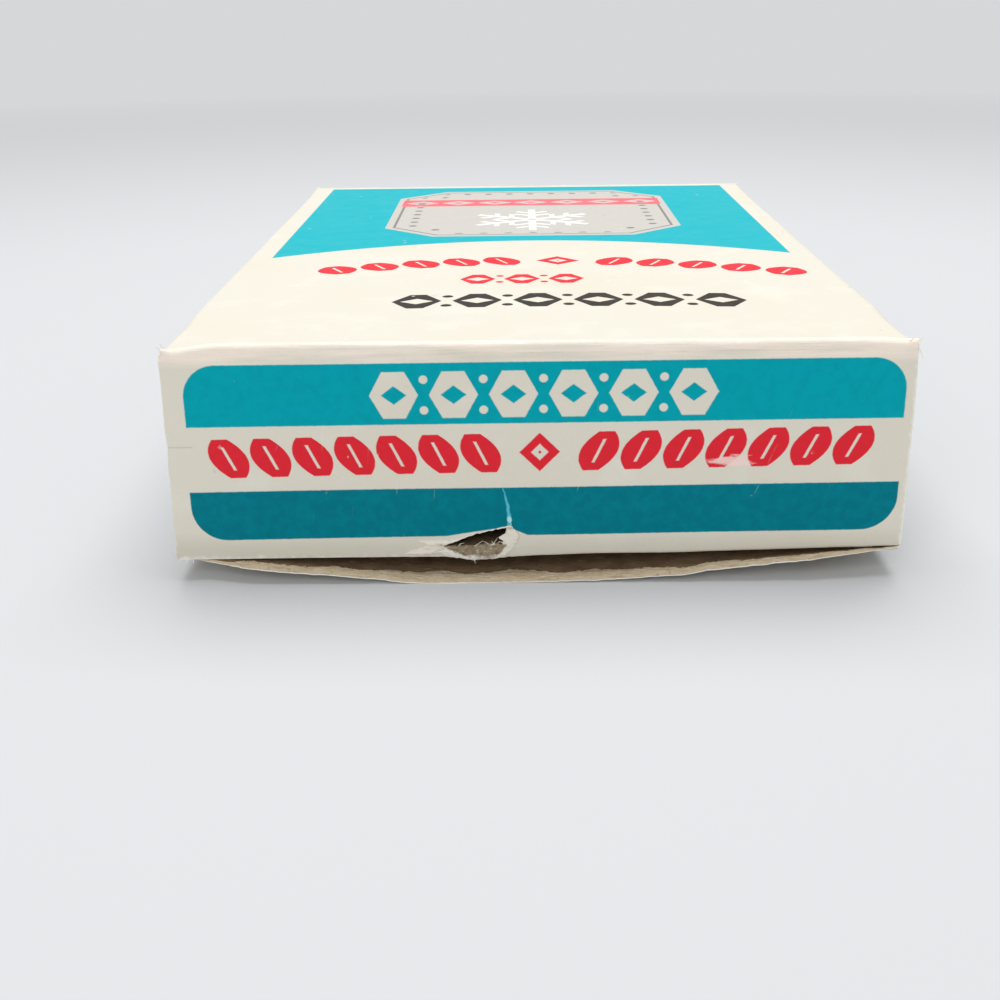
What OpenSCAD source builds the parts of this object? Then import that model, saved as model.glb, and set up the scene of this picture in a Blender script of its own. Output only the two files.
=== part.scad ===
// Boxed pocket hand warmer: a worn tuck-end paperboard carton, and inside it a
// catalytic warmer (fuel tank, burner and vented cap) on its folded flannel pouch,
// with a folded leaflet on top.
//
// Axes: X across the carton, Y along it, Z up. The origin is on the surface that the
// carton stands on, under the middle of the sagging bottom panel. The front end faces -Y.

/* [Carton] */
// Room between the warmer and each side wall
side_room = 3.5; // [1.5:0.1:8]
// Room between the front dust flaps and the cap
front_room = 14; // [12:0.5:15]
// Room between the tank and the rear dust flaps
rear_room = 1.6; // [0.5:0.1:4]
// Height left over the contents if the bottom panel lay flat
headroom = 0.65; // [0.2:0.05:3]
// Thickness of the paperboard
board = 0.5; // [0.3:0.05:0.7]
// How far the bottom panel sags below the lower creases
sag = 2.5; // [2.2:0.1:4]
// Width of the flat strip between the sagging panel's two kinks
sag_flat = 19; // [12:1:36]
// How far the flat strip lies left of the middle
sag_shift = 3.5; // [0:0.5:5]
// Outer radius of the two rounded creases along the top
crease_r = 1.2; // [0.8:0.1:2]
// How far the bottom panel runs out past the end panels
sill = 1.2; // [0:0.1:2]
// Width of the lap that glues the sleeve together
lap_w = 12; // [6:1:16]

/* [Closures] */
// Length of a tuck flap, from the end panel's outer face
tuck_l = 8; // [6:0.5:8.5]
// Width of the straight part of a tuck flap's free edge
tuck_flat = 28; // [16:1:32]
// Length of a dust flap, from the side wall's outer face
dust_l = 20; // [12:0.5:21]
// Slope of a dust flap's upper edge, in degrees
dust_slope = 32; // [31:1:36]
// Rise of a dust flap's lower edge from its crease to its tip
dust_rise = 2; // [1:0.5:3]
// Corner radius at the tip of a dust flap
dust_tip_r = 1.6; // [0.5:0.1:2]
// Gap left along every crease where two panels turn on each other
crease_gap = 0.1; // [0.06:0.02:0.14]
// Width of the tear in the front end panel
tear_w = 6.8; // [3:0.2:10]
// Height of the tear
tear_h = 2; // [1:0.1:4]
// Place of the tear's high corner, left of the middle
tear_x = 3.1; // [0:0.1:20]

/* [Warmer] */
// Width of the warmer
warmer_w = 68; // [60:1:69]
// Length of the warmer with its cap on
warmer_l = 96; // [86:1:97]
// Thickness of the warmer
warmer_t = 15; // [13:0.5:16]
// Radius of the cap's corners, seen from above
cap_corner = 10; // [8.5:0.5:14]
// Radius of the tank's corners, seen from above
tank_corner = 14; // [9:0.5:20]
// Length of the vented cap
cap_l = 34; // [32:0.5:40]
// Thickness of the sheet metal of the tank and the cap
skin = 0.5; // [0.3:0.05:0.7]
// How far the tank's neck reaches into the cap
neck_l = 7; // [5:0.5:9]
// Radial clearance between the neck and the cap
cap_fit = 0.08; // [0.04:0.02:0.1]
// Diameter of the cap's middle vent
vent_d = 6; // [4:0.5:8]
// Diameter of the cap's small vents
small_vent_d = 2; // [1.2:0.1:2.6]

/* [Burner] */
// Width of the tank's oval mouth collar
mouth_w = 30; // [24:1:36]
// Thickness of the collar across its flats
mouth_t = 9; // [8:0.2:10]
// Height of the collar above the neck
mouth_h = 5; // [4:0.5:6]
// Wall of the collar
mouth_wall = 0.8; // [0.6:0.1:1.2]
// Wall of the burner's base and guard
burner_wall = 0.6; // [0.4:0.05:0.8]
// Radial clearance between the collar and the burner's skirt
burner_fit = 0.06; // [0.04:0.02:0.1]
// Height of the guard above the burner's deck
guard_h = 8; // [6:0.5:9]
// Number of air slots along each side of the guard
slots = 6; // [3:1:7]
// Width of an air slot
slot_w = 2; // [1.2:0.1:2.4]
// Thickness of the catalyst mat
mat_t = 3; // [2:0.5:4]
// Diameter of the holes in the gauze
gauze_hole_d = 1; // [0.6:0.1:1.2]

/* [Contents] */
// Thickness of the folded pouch at its middle
pouch_t = 5.6; // [4.5:0.1:6]
// Width of the folded pouch
pouch_w = 66; // [56:1:68]
// Play at each end of the folded pouch, before it meets a tuck flap
pouch_play = 5; // [4:0.5:10]
// Width of the folded leaflet
leaflet_w = 58; // [46:1:64]
// Length of the folded leaflet
leaflet_l = 84; // [60:1:90]
// Thickness of the leaflet's paper
paper = 0.15; // [0.1:0.05:0.2]
// Number of layers that the leaflet is folded into
leaflet_layers = 3; // [2:1:4]

/* [Hidden] */

$fn = 96;
LONG_ARC_FN = 256;   // for the tuck flaps, whose radii are long
CORNER_STEPS = 6;    // segments in a rounded corner of an outline
TINY = 0.01;         // overlap that makes a cut run clean through
LIE_GAP = 0.1;       // air between loose things that lie on each other

// ---- Leaflet's thickness ----
fold_pitch = paper * 2;
leaflet_t = paper + (leaflet_layers - 1) * fold_pitch;

// ---- Carton, worked out from what it holds ----
half_w = warmer_w / 2 + side_room + board;
wall_end_y = (front_room + warmer_l + rear_room) / 2;   // where the side walls stop
panel_end_y = wall_end_y + board + crease_gap;   // where the top panel stops behind the crease
end_y = panel_end_y + board + crease_gap;    // outer face of the end panels
top_z = sag + 2 * board + pouch_t + warmer_t + leaflet_t + 3 * LIE_GAP + headroom;
closure_z = sag + board + crease_gap;        // lower edge of the end panels
closure_h = top_z - closure_z;
lap_inset = 8;                               // how far the lap's ends stay back
lap_taper = 4;                               // how much shorter its free edge is

// ---- Closures, worked out ----
tuck_half_w = half_w - 2 * board - 6 * crease_gap;
tuck_run = tuck_half_w - tuck_flat / 2;
tuck_r = (tuck_run * tuck_run + tuck_l * tuck_l) / (2 * tuck_l);
dust_low_z = closure_z + board + 5 * crease_gap;
dust_high_z = top_z - board - 6 * crease_gap;

// ---- Warmer, worked out: the nose of the cap faces the front end ----
nose_y = front_room - wall_end_y;
tail_y = nose_y + warmer_l;
seam_y = nose_y + cap_l;                     // where the cap's rim meets the tank
plate_y = seam_y - neck_l;                   // front face of the tank's top
warmer_z = board + 2 * LIE_GAP + pouch_t + warmer_t / 2;
flange_l = 3;                                // how far the tank's top plugs into the shell
wad_gap = 0.2;                               // between the wadding and the sheet metal
vent_rings = [[5, 7.5], [9, 12.5]];          // count and radius of each ring of small vents
ring_squash = 0.55;                          // a ring's depth over its half width
vent_setback = 6;
vent_y = nose_y + cap_corner + small_vent_d + vent_setback;

// ---- Burner, worked out; heights run from the neck's plate towards the nose ----
base_gap = 0.3;                              // the skirt stops short of the plate
skirt_w = mouth_w + 2 * (burner_fit + burner_wall);
skirt_t = mouth_t + 2 * (burner_fit + burner_wall);
deck_y = plate_y - mouth_h - base_gap;       // underside of the burner's deck
deck_lip = 1.4;                              // width of the deck round its window
guard_y = deck_y - burner_wall;              // where the guard and the mat stand
guard_lip = 1;                               // width of the guard's turned-in rim
felt_gap = 0.1;

// ---- Pouch and leaflet, worked out ----
pouch_l = 2 * (end_y - tuck_l - pouch_play);
leaflet_z = warmer_z + warmer_t / 2 + LIE_GAP;

CREAM = [0.93, 0.91, 0.85];
CHROME = [0.80, 0.81, 0.82];
NICKEL = [0.70, 0.69, 0.66];
STEEL = [0.55, 0.56, 0.58];
COTTON = [0.94, 0.93, 0.90];
FELT = [0.86, 0.84, 0.78];
MAT = [0.50, 0.49, 0.48];
FLANNEL = [0.62, 0.10, 0.13];
PAPER = [0.95, 0.95, 0.93];

// Points of an outline whose corners are rounded to radius r
function unit(v) = v / norm(v);
function corner_arc(before, corner, after, r) =
    let (a = unit(before - corner),
         b = unit(after - corner),
         half = acos(a * b) / 2,
         centre = corner + unit(a + b) * r / sin(half),
         start = corner + a * r / tan(half) - centre,
         end = corner + b * r / tan(half) - centre,
         from = atan2(start.y, start.x),
         turn = (atan2(end.y, end.x) - from + 540) % 360 - 180)
    [for (i = [0:CORNER_STEPS]) let (angle = from + turn * i / CORNER_STEPS)
        centre + r * [cos(angle), sin(angle)]];
function rounded(points, r) =
    let (n = len(points))
    [for (i = [0:n - 1])
        each corner_arc(points[(i + n - 1) % n], points[i], points[(i + 1) % n], r)];

// Oval plate outline with round ends
module oval(w, t) {
    square([w - t, t], center = true);
    for (side = [-1, 1])
        translate([side * (w - t) / 2, 0])
            circle(d = t);
}

// Stands an XZ outline up, from y = from to y = to
module along_y(from, to)
    translate([0, to, 0])
        rotate([90, 0, 0])
            linear_extrude(to - from)
                children();

// ---------------------------------------------------------------- carton ----

// Crease and kink of the sagging panel on one side (-1 left, 1 right), set in by inset
function sag_side(side, inset) =
    let (kink = sag_flat / 2 - side * sag_shift,
         slope = atan2(sag, half_w - kink))
    [[side * (half_w - inset), sag + inset / cos(slope) - inset * tan(slope)],
     [side * (kink - inset * tan(slope / 2)), inset]];

// Cross-section of the sleeve, set in by inset: square sides, two rounded creases
// at the top, and a bottom that slopes down to a flat strip between two kinks
module sleeve_outline(inset) {
    r = crease_r - inset > 0 ? crease_r - inset : TINY;
    edge = half_w - inset;
    roof = top_z - inset;
    left = sag_side(-1, inset);
    right = sag_side(1, inset);
    polygon([left[0], left[1], right[1], right[0], [edge, roof - r], [-edge, roof - r]]);
    translate([r - edge, top_z / 2])
        square([2 * (edge - r), roof - top_z / 2]);
    for (side = [-1, 1])
        translate([side * (edge - r), roof - r])
            circle(r);
}

module sleeve_wall()
    difference() {
        sleeve_outline(0);
        sleeve_outline(board);
    }

// Room that a dust flap takes out of the end of a side wall
module dust_notch()
    translate([-half_w - 1, -panel_end_y - 1, dust_low_z - crease_gap])
        cube([board + 1 + crease_r, panel_end_y - wall_end_y + 1,
              dust_high_z - dust_low_z + 2 * crease_gap]);

// Lap that hangs from the top panel's edge, glued inside the right side wall
module glue_lap() {
    reach = end_y - lap_inset;
    translate([half_w - board, 0, top_z - board])
        rotate([0, -90, 0])
            linear_extrude(board)
                polygon([[0, -reach], [0, reach], [-lap_w, reach - lap_taper],
                         [-lap_w, lap_taper - reach]]);
}

module carton_sleeve()
    color(CREAM)
        union() {
            difference() {
                along_y(-panel_end_y, panel_end_y)
                    sleeve_wall();
                for (turn_x = [0, 1], turn_y = [0, 1])
                    mirror([turn_x, 0, 0])
                        mirror([0, turn_y, 0])
                            dust_notch();
            }
            along_y(-end_y - sill, end_y + sill)
                intersection() {
                    sleeve_wall();
                    translate([-half_w, 0])
                        square([2 * half_w, sag + board]);
                }
            glue_lap();
        }

// One end panel, drawn at the front end; its top edge is the rounded crease
module end_panel()
    translate([-half_w, 0, 0])
        rotate([90, 0, 90])
            linear_extrude(2 * half_w)
                union() {
                    translate([-end_y, closure_z])
                        square([board, closure_h - board]);
                    intersection() {
                        translate([board - end_y, top_z - board])
                            circle(board);
                        translate([-end_y, top_z - board])
                            square(board);
                    }
                }

// The slanting tear just above the front end panel's lower crease. Its corners are
// given as parts of its width and height, from the foot of its high corner.
module tear() {
    lip = 0.7;    // strip of board left below the tear
    corners = [[-1, 0], [-0.55, -0.05], [-0.2, 0.12], [-0.07, 0.05], [0, 1], [-0.5, 0.62]];
    along_y(-end_y - 1, 1 - end_y)
        polygon([for (corner = corners)
            [corner.x * tear_w - tear_x, corner.y * tear_h + closure_z + lip]]);
}

module front_end_panel()
    color(CREAM)
        difference() {
            end_panel();
            tear();
        }

module rear_end_panel()
    color(CREAM)
        mirror([0, 1, 0])
            end_panel();

// One tuck flap, drawn at the front end: its free edge curves back at both sides
module tuck_flap()
    color(CREAM)
        translate([0, -end_y, closure_z])
            linear_extrude(board)
                intersection() {
                    translate([-tuck_half_w, board + crease_gap])
                        square([2 * tuck_half_w, tuck_l]);
                    union() {
                        translate([-tuck_flat / 2, 0])
                            square([tuck_flat, tuck_l]);
                        for (side = [-1, 1])
                            translate([side * tuck_flat / 2, tuck_l - tuck_r])
                                circle(tuck_r, $fn = LONG_ARC_FN);
                    }
                }

module front_tuck_flap() tuck_flap();

module rear_tuck_flap()
    mirror([0, 1, 0])
        tuck_flap();

// One dust flap, drawn at the front end on the left: deep at its crease, cut back
// along its upper edge and a little along its lower one
module dust_flap() {
    fall = dust_l * tan(dust_slope);
    tip_x = dust_l - half_w;
    color(CREAM)
        along_y(-panel_end_y, board - panel_end_y)
            intersection() {
                polygon(rounded([[-half_w - dust_tip_r, dust_low_z],
                                 [-half_w - dust_tip_r, dust_high_z],
                                 [-half_w + crease_r, dust_high_z],
                                 [tip_x, dust_high_z - fall],
                                 [tip_x, dust_low_z + dust_rise]], dust_tip_r / 2));
                translate([-half_w, 0])
                    square([dust_l, top_z]);
            }
}

module front_dust_flap_left() dust_flap();

module front_dust_flap_right()
    mirror([1, 0, 0])
        dust_flap();

module rear_dust_flap_left()
    mirror([0, 1, 0])
        dust_flap();

module rear_dust_flap_right()
    mirror([0, 1, 0])
        mirror([1, 0, 0])
            dust_flap();

// ---------------------------------------------------------------- warmer ----

// Half of the warmer's edge in section: flat, then full round; set in by inset
module edge_section(reach, inset)
    intersection() {
        translate([0, -warmer_t / 2])
            square([reach, warmer_t]);
        union() {
            translate([0, inset - warmer_t / 2])
                square([reach - warmer_t / 2, warmer_t - 2 * inset]);
            translate([reach - warmer_t / 2, 0])
                circle(warmer_t / 2 - inset);
        }
    }

// Rounded end of the warmer's form, its base at y = 0 and its nose towards -Y
module form_end(corner, inset) {
    span = warmer_w - 2 * corner;
    translate([-span / 2, 0, 0])
        rotate([90, 0, 90])
            linear_extrude(span)
                mirror([1, 0])
                    edge_section(corner, inset);
    for (side = [0, 1])
        mirror([side, 0, 0])
            translate([span / 2, 0, 0])
                rotate([0, 0, -90])
                    rotate_extrude(angle = 90)
                        edge_section(corner, inset);
}

// Stretch of the warmer's form between two places along it
module form_run(from, to, inset)
    along_y(from, to)
        oval(warmer_w - 2 * inset, warmer_t - 2 * inset);

module at_warmer()
    translate([0, 0, warmer_z])
        children();

module tank_form(from, inset) {
    bend_y = tail_y - tank_corner;
    form_run(from, bend_y, inset);
    translate([0, bend_y, 0])
        mirror([0, 1, 0])
            form_end(tank_corner, inset);
}

module cap_form(to, inset) {
    bend_y = nose_y + cap_corner;
    form_run(bend_y, to, inset);
    translate([0, bend_y, 0])
        form_end(cap_corner, inset);
}

module tank_shell()
    color(CHROME)
        at_warmer()
            difference() {
                tank_form(seam_y, 0);
                tank_form(seam_y - 1, skin);
            }

// Drawn top of the tank: a flange inside the shell, a neck that the cap slides on,
// and a plate with the oval hole for the mouth collar
module tank_top()
    color(NICKEL)
        at_warmer()
            difference() {
                union() {
                    form_run(plate_y, seam_y, skin + cap_fit);
                    form_run(seam_y, seam_y + flange_l, skin);
                }
                form_run(plate_y + skin, seam_y + flange_l + 1, 2 * skin + cap_fit);
                along_y(plate_y - 1, plate_y + 1)
                    oval(mouth_w, mouth_t);
            }

module mouth_collar()
    color(NICKEL)
        at_warmer()
            along_y(plate_y - mouth_h, plate_y + skin)
                difference() {
                    oval(mouth_w, mouth_t);
                    oval(mouth_w - 2 * mouth_wall, mouth_t - 2 * mouth_wall);
                }

module cotton_wadding()
    color(COTTON)
        at_warmer()
            tank_form(seam_y + flange_l + wad_gap, skin + wad_gap);

module wick_felt()
    color(FELT)
        at_warmer()
            along_y(plate_y + 1 - mouth_h, seam_y + flange_l)
                oval(mouth_w - 2 * (mouth_wall + felt_gap), mouth_t - 2 * (mouth_wall + felt_gap));

// Skirt that pushes over the collar, closed by a deck with an oval window
module burner_base()
    color(CHROME)
        at_warmer()
            difference() {
                along_y(guard_y, plate_y - base_gap)
                    oval(skirt_w, skirt_t);
                along_y(deck_y, plate_y)
                    oval(skirt_w - 2 * burner_wall, skirt_t - 2 * burner_wall);
                along_y(guard_y - 1, deck_y + 1)
                    oval(skirt_w - 2 * (burner_wall + deck_lip),
                         skirt_t - 2 * (burner_wall + deck_lip));
            }

module catalyst_mat()
    color(MAT)
        at_warmer()
            along_y(guard_y - mat_t, guard_y)
                oval(skirt_w - 2 * (burner_wall + felt_gap),
                     skirt_t - 2 * (burner_wall + felt_gap));

// Perforated plate that holds the mat down
module burner_gauze() {
    rows = 3;
    columns = 11;
    pitch = 2.2;
    color(STEEL)
        at_warmer()
            along_y(guard_y - mat_t - burner_wall / 2, guard_y - mat_t)
                difference() {
                    oval(skirt_w - 2 * (burner_wall + felt_gap),
                         skirt_t - 2 * (burner_wall + felt_gap));
                    for (row = [0:rows - 1], column = [0:columns - 1])
                        translate([(column - (columns - 1) / 2) * pitch,
                                   (row - (rows - 1) / 2) * pitch])
                            circle(d = gauze_hole_d, $fn = 16);
                }
}

// Round-ended air slot through the guard's two broad sides
module air_slot(length) {
    square([slot_w, length - slot_w], center = true);
    for (end = [-1, 1])
        translate([0, end * (length - slot_w) / 2])
            circle(d = slot_w, $fn = 32);
}

module burner_guard() {
    nose = guard_y - guard_h;
    slot_l = guard_h - 3 * burner_wall;
    pitch = (mouth_w - mouth_t) / slots;
    color(CHROME)
        at_warmer()
            difference() {
                along_y(nose, guard_y)
                    oval(skirt_w, skirt_t);
                along_y(nose + burner_wall, guard_y + 1)
                    oval(skirt_w - 2 * burner_wall, skirt_t - 2 * burner_wall);
                along_y(nose - 1, nose + 1)
                    oval(skirt_w - 2 * (burner_wall + guard_lip),
                         skirt_t - 2 * (burner_wall + guard_lip));
                for (i = [0:slots - 1])
                    translate([(i - (slots - 1) / 2) * pitch, nose + guard_h / 2, -skirt_t])
                        linear_extrude(2 * skirt_t)
                            air_slot(slot_l);
            }
}

// Cap with a middle vent and two rings of small ones through both faces
module vented_cap()
    color(CHROME)
        at_warmer()
            difference() {
                cap_form(seam_y - crease_gap, 0);
                cap_form(seam_y + 1, skin);
                translate([0, vent_y, -warmer_t])
                    cylinder(d = vent_d, h = 2 * warmer_t);
                for (ring = vent_rings, i = [0:ring[0] - 1])
                    let (angle = 180 * i / (ring[0] - 1))
                        translate([ring[1] * cos(angle),
                                   vent_y - ring[1] * sin(angle) * ring_squash, -warmer_t])
                            cylinder(d = small_vent_d, h = 2 * warmer_t, $fn = 24);
            }

// -------------------------------------------------------------- contents ----

// Folded flannel bag: it settles into the kinked bottom and lies flat above
module flannel_pouch() {
    floor_gap = board + LIE_GAP;
    roof = floor_gap + pouch_t;
    edge_r = 1.2;
    corner_r = 4;
    color(FLANNEL)
        intersection() {
            along_y(-pouch_l / 2, pouch_l / 2)
                intersection() {
                    sleeve_outline(floor_gap);
                    translate([-pouch_w / 2, 0])
                        square([pouch_w, roof]);
                }
            linear_extrude(roof)
                polygon(rounded([[-pouch_w / 2, -pouch_l / 2], [pouch_w / 2, -pouch_l / 2],
                                 [pouch_w / 2, pouch_l / 2], [-pouch_w / 2, pouch_l / 2]],
                                corner_r));
            translate([0, 0, -edge_r])
                along_y(-pouch_l, pouch_l)
                    polygon(rounded([[-pouch_w / 2, -1], [pouch_w / 2, -1],
                                     [pouch_w / 2, roof + edge_r],
                                     [-pouch_w / 2, roof + edge_r]], edge_r));
        }
}

// Leaflet in section: flat layers joined by half-round folds at alternate ends
module leaflet_outline() {
    fold_r = fold_pitch / 2 + paper / 2;
    straight = leaflet_l - 2 * fold_r;
    for (layer = [0:leaflet_layers - 1])
        translate([-straight / 2, layer * fold_pitch])
            square([straight, paper]);
    for (fold = [0:leaflet_layers - 2])
        let (side = fold % 2 == 0 ? 1 : -1)
            translate([side * straight / 2, fold * fold_pitch + fold_r])
                intersection() {
                    difference() {
                        circle(fold_r, $fn = 32);
                        circle(fold_r - paper, $fn = 32);
                    }
                    translate([side > 0 ? 0 : -fold_r, -fold_r])
                        square([fold_r, 2 * fold_r]);
                }
}

module instruction_leaflet()
    color(PAPER)
        translate([-leaflet_w / 2, 0, leaflet_z])
            rotate([90, 0, 90])
                linear_extrude(leaflet_w)
                    leaflet_outline();

carton_sleeve();
front_end_panel();
front_tuck_flap();
front_dust_flap_left();
front_dust_flap_right();
rear_end_panel();
rear_tuck_flap();
rear_dust_flap_left();
rear_dust_flap_right();
tank_shell();
tank_top();
mouth_collar();
cotton_wadding();
wick_felt();
burner_base();
catalyst_mat();
burner_gauze();
burner_guard();
vented_cap();
flannel_pouch();
instruction_leaflet();
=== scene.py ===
"""Looks of a worn paperboard carton that holds a catalytic hand warmer.

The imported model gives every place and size. Lengths here are in millimetres, turned into
metres by MM where Blender needs them. X runs across the carton, Y along it, Z up, and the
photographed end faces -Y.
"""
import math

import bmesh
import bpy
from mathutils import Matrix, Vector, noise


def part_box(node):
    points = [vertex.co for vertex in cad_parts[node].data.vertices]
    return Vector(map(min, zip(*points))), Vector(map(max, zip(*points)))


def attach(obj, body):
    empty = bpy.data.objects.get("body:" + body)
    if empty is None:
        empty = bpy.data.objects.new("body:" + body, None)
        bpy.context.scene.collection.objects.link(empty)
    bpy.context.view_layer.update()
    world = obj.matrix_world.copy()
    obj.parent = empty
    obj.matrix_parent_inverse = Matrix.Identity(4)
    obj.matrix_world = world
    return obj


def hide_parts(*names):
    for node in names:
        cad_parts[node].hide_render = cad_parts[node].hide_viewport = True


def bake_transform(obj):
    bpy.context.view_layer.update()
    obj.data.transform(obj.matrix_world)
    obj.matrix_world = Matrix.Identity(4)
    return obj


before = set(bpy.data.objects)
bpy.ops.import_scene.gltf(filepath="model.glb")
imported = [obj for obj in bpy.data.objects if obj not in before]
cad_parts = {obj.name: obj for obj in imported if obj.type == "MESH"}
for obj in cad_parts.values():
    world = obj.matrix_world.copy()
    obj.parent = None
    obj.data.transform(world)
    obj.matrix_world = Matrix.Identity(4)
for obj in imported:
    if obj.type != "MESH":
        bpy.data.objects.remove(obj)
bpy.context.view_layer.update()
bpy.ops.object.select_all(action="DESELECT")

MM = 0.001
FRONT, REAR = -1, 1


def box_mm(node):
    """Lowest and highest corner of a CAD node, in millimetres."""
    return [Vector(corner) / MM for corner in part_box(node)]


# ---- Sizes read off the frame ----
SLEEVE_HIGH = box_mm("carton_sleeve")[1]
PANEL_LOW, PANEL_HIGH = box_mm("front_end_panel")
POUCH_LOW, POUCH_HIGH = box_mm("flannel_pouch")
HALF_W = SLEEVE_HIGH.x
TOP_Z = SLEEVE_HIGH.z
END_Y = -PANEL_LOW.y
PANEL_END_Y = -box_mm("front_dust_flap_left")[0].y
FOLD_Z = PANEL_LOW.z
BOARD = PANEL_HIGH.y - PANEL_LOW.y

# ---- Sizes that no box shows ----
CREASE_GAP = 0.1
CREASE_R = 1.2
FOLD_R = 0.4
SAG = FOLD_Z - BOARD - CREASE_GAP


# ============================================================ modelling ====

def choose(*pieces):
    """Selects these pieces alone and makes the first of them active."""
    bpy.ops.object.select_all(action="DESELECT")
    for piece in pieces:
        piece.select_set(True)
    bpy.context.view_layer.objects.active = pieces[0]


def edit(piece, kind="FACE", rule=None):
    """Opens a piece in edit mode and selects what the rule says, or all of it."""
    if bpy.context.mode != "OBJECT":
        bpy.ops.object.mode_set(mode="OBJECT")
    choose(piece)
    bpy.ops.object.mode_set(mode="EDIT")
    bpy.ops.mesh.select_mode(type=kind)
    if rule is None:
        bpy.ops.mesh.select_all(action="SELECT")
        return
    bpy.ops.mesh.select_all(action="DESELECT")
    mesh = bmesh.from_edit_mesh(piece.data)
    for item in mesh.faces if kind == "FACE" else mesh.edges:
        if kind == "FACE":
            place = item.calc_center_median()
        else:
            place = (item.verts[0].co + item.verts[1].co) / 2
        item.select_set(bool(rule(place / MM)))
    bmesh.update_edit_mesh(piece.data)


def done():
    """Closes edit mode with nothing selected."""
    bpy.ops.object.mode_set(mode="OBJECT")
    bpy.ops.object.select_all(action="DESELECT")


def settle(piece):
    """Puts a piece's place into its mesh, so that its object sits at the origin."""
    choose(piece)
    bpy.ops.object.transform_apply(location=True, rotation=True, scale=True)
    return piece


def finish_with(piece, kind, **settings):
    """Adds a modifier, sets it up and applies it."""
    bpy.context.view_layer.objects.active = piece
    modifier = piece.modifiers.new(kind.title(), kind)
    for name, value in settings.items():
        setattr(modifier, name, value)
    bpy.ops.object.modifier_apply(modifier=modifier.name)
    return piece


def merged_copy(node, name):
    """A piece that starts from a CAD node's own shape, with its loose triangles merged."""
    piece = bpy.data.objects.new(name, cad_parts[node].data.copy())
    bpy.context.collection.objects.link(piece)
    piece.data.materials.clear()
    edit(piece)
    bpy.ops.mesh.customdata_custom_splitnormals_clear()
    bpy.ops.mesh.remove_doubles(threshold=0.002 * MM)
    bpy.ops.mesh.dissolve_limited(angle_limit=math.radians(0.5))
    done()
    return piece


def cut_through(piece, axis, places, rule=None):
    """Cuts a piece at several places along an axis, so that it can bend there."""
    facing = [0.0, 0.0, 0.0]
    facing[axis] = 1.0
    for place in places:
        spot = [0.0, 0.0, 0.0]
        spot[axis] = place * MM
        edit(piece, "FACE", rule)
        bpy.ops.mesh.bisect(plane_co=spot, plane_no=facing)
    done()


def steps(start, stop, pitch):
    """Evenly spaced places from start to stop, about a pitch apart."""
    count = max(1, round((stop - start) / pitch))
    return [start + (stop - start) * i / count for i in range(count + 1)]


def reshape(piece, rule):
    """Moves each corner of the mesh to where the rule says, in millimetres."""
    for vertex in piece.data.vertices:
        vertex.co = Vector(rule(vertex.co / MM)) * MM
    piece.data.update()


def wander(place, scale, seed=0.0):
    """Smooth random number about 0, the same each run, for a place in millimetres."""
    return noise.noise(Vector((place[0] * scale + seed, place[1] * scale - seed, place[2] * scale)))


def ease(t):
    """0 below 0, 1 above 1, and a smooth step between."""
    t = min(1.0, max(0.0, t))
    return t * t * (3 - 2 * t)


def between(table, x):
    """Value at x on the straight lines through a table of places and values."""
    for (x0, v0), (x1, v1) in zip(table, table[1:]):
        if x <= x1:
            return v0 + (v1 - v0) * max(0.0, x - x0) / (x1 - x0)
    return table[-1][1]


def note(piece, name, rule):
    """Writes a number for each corner of the mesh, for the materials to read."""
    values = piece.data.attributes.new(name, "FLOAT", "POINT")
    for value, vertex in zip(values.data, piece.data.vertices):
        value.value = rule(vertex.co / MM)


def grid(name, across, along, shape):
    """A sheet of faces, across by along, whose corners the shape places for u and v from 0 to 1."""
    bpy.ops.mesh.primitive_grid_add(x_subdivisions=across, y_subdivisions=along, size=2 * MM)
    piece = bpy.context.object
    piece.name = name
    reshape(piece, lambda p: shape(p.x / 2 + 0.5, p.y / 2 + 0.5))
    return piece


def strand(path, radius):
    """One paper fibre: a thin five-sided rod, laid along a path and fine at its tip."""
    bpy.ops.mesh.primitive_cylinder_add(vertices=5, radius=radius * MM, depth=MM)
    piece = bpy.context.object
    cut_through(piece, 2, [-0.3, -0.1, 0.1, 0.3])

    def laid(p):
        t = (p.z + 0.5) * (len(path) - 1)
        leg = min(int(t), len(path) - 2)
        spot = path[leg].lerp(path[leg + 1], t - leg)
        thin = 1.0 - 0.7 * (p.z + 0.5)
        return spot + Vector((p.x, p.y * 0.7, p.y * 0.7)) * thin

    reshape(piece, laid)
    return piece


def fray(name, body, start, paths, radius):
    """A tuft of loose paper fibres in one piece; each path's points are given from its start."""
    strands = [strand([Vector(start) + Vector(spot) for spot in path], radius) for path in paths]
    choose(*strands)
    bpy.ops.object.join()
    tuft = settle(bpy.context.object)
    tuft.name = name
    dress(tuft, FLAKE)
    smooth(tuft, 60)
    place_in_frame(tuft, body, "printed_board")


def skin(name, across, along, shape, thickness, finish, angle):
    """A thin curved skin of the carton, in one finish, shaded smooth up to an angle."""
    piece = grid(name, across, along, shape)
    finish_with(piece, "SOLIDIFY", thickness=thickness * MM, offset=0)
    edit(piece)
    bpy.ops.mesh.normals_make_consistent(inside=False)
    done()
    dress(piece, finish)
    smooth(piece, angle)
    return piece


def dress(piece, finish):
    """Gives a whole piece one material."""
    piece.data.materials.clear()
    piece.data.materials.append(finish)
    for face in piece.data.polygons:
        face.material_index = 0


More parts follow.
